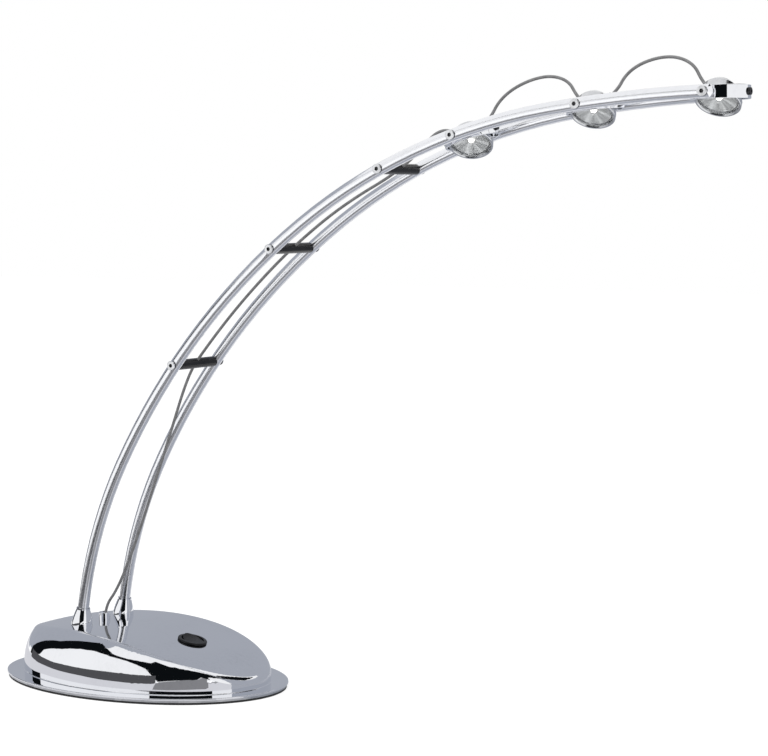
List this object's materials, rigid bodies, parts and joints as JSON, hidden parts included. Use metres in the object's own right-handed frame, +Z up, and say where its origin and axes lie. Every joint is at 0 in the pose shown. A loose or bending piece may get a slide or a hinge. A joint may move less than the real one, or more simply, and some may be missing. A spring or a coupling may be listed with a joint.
{
  "type": "led table lamp",
  "caption": "Table lamp with an oval pressed base, an arched pair of tubes joined by cross bars, and small LED spot heads tilting in rings between the tubes.",
  "frame": {"origin": "middle of the oval base's underside, on the table", "axes": "+Z up, +X from the base towards the arm's tip, +Y across the two tubes"},
  "size_m": [0.5572, 0.151, 0.4246],
  "materials": {
    "chrome": "bright chrome plating on steel",
    "zinc_steel": "zinc-plated steel",
    "screw_steel": "plain machined steel",
    "screw_black": "black oxide steel",
    "black_plastic": "glossy black moulding",
    "pad_rubber": "matt black rubber",
    "bush_rubber": "grey rubber",
    "cast_iron": "raw casting",
    "driver_plastic": "plain moulding",
    "lens_glass": "clear pressed lens",
    "board_aluminium": "aluminium-core board",
    "led_white": "lit emitter",
    "reflector_mirror": "metallised cup",
    "cable_grey": "grey sheathed cable"
  },
  "bodies": {
    "lamp_frame": {"base_cover": "chrome", "base_plate": "zinc_steel", "base_pad": "pad_rubber", "base_screws": "zinc_steel", "ballast_weight": "cast_iron", "led_driver": "driver_plastic", "lead_gland": "pad_rubber", "switch_housing": "black_plastic", "rod_near": "chrome", "rod_far": "chrome", "rod_tips": "chrome", "ferrule_near": "chrome", "ferrule_far": "chrome", "rod_nuts": "zinc_steel", "cable_bush": "chrome", "crossbar_lower": "black_plastic", "crossbar_middle": "black_plastic", "crossbar_upper": "black_plastic", "crossbar_screws": "screw_steel", "ring_screws": "screw_steel", "ring_washers": "black_plastic", "supply_cable": "cable_grey", "cable_loop_1": "cable_grey", "cable_loop_2": "cable_grey"},
    "rocker": {"switch_rocker": "black_plastic"},
    "ring_body_1": {"ring_1": "chrome", "pot_screws_1": "screw_black"},
    "pot_body_1": {"pot_housing_1": "chrome", "pot_bezel_1": "chrome", "lens_1": "lens_glass", "led_board_1": "board_aluminium", "led_chip_1": "led_white", "reflector_1": "reflector_mirror", "lead_bushes_1": "bush_rubber"},
    "ring_body_2": {"ring_2": "chrome", "pot_screws_2": "screw_black"},
    "pot_body_2": {"pot_housing_2": "chrome", "pot_bezel_2": "chrome", "lens_2": "lens_glass", "led_board_2": "board_aluminium", "led_chip_2": "led_white", "reflector_2": "reflector_mirror", "lead_bushes_2": "bush_rubber"},
    "ring_body_3": {"ring_3": "chrome", "pot_screws_3": "screw_black"},
    "pot_body_3": {"pot_housing_3": "chrome", "pot_bezel_3": "chrome", "lens_3": "lens_glass", "led_board_3": "board_aluminium", "led_chip_3": "led_white", "reflector_3": "reflector_mirror", "lead_bushes_3": "bush_rubber"}
  },
  "joints": [
    {"name": "switch_press", "type": "hinge", "parent": "lamp_frame", "child": "rocker", "pos_m": [0.03953, 0, 0.02907], "axis": [0, 1, 0], "range_deg": [-16, 0]},
    {"name": "ring_tilt_1", "type": "hinge", "parent": "lamp_frame", "child": "ring_body_1", "pos_m": [0.25977, 0, 0.37752], "axis": [0, 1, 0], "range_deg": [-40, 40], "deforming": ["supply_cable", "cable_loop_1"]},
    {"name": "pot_tilt_1", "type": "hinge", "parent": "ring_body_1", "child": "pot_body_1", "pos_m": [0.25977, 0, 0.37752], "axis": [-0.9538, 0, -0.3003], "range_deg": [-74, 6], "deforming": ["supply_cable", "cable_loop_1"]},
    {"name": "ring_tilt_2", "type": "hinge", "parent": "lamp_frame", "child": "ring_body_2", "pos_m": [0.34585, 0, 0.39506], "axis": [0, 1, 0], "range_deg": [-40, 40], "deforming": ["cable_loop_1", "cable_loop_2"]},
    {"name": "pot_tilt_2", "type": "hinge", "parent": "ring_body_2", "child": "pot_body_2", "pos_m": [0.34585, 0, 0.39506], "axis": [-0.9931, 0, -0.1176], "range_deg": [-74, 6], "deforming": ["cable_loop_1", "cable_loop_2"]},
    {"name": "ring_tilt_3", "type": "hinge", "parent": "lamp_frame", "child": "ring_body_3", "pos_m": [0.42861, 0, 0.40096], "axis": [0, 1, 0], "range_deg": [-40, 40], "deforming": ["cable_loop_2"]},
    {"name": "pot_tilt_3", "type": "hinge", "parent": "ring_body_3", "child": "pot_body_3", "pos_m": [0.42861, 0, 0.40096], "axis": [-0.9997, 0, -0.0246], "range_deg": [-74, 6], "deforming": ["cable_loop_2"]}
  ]
}
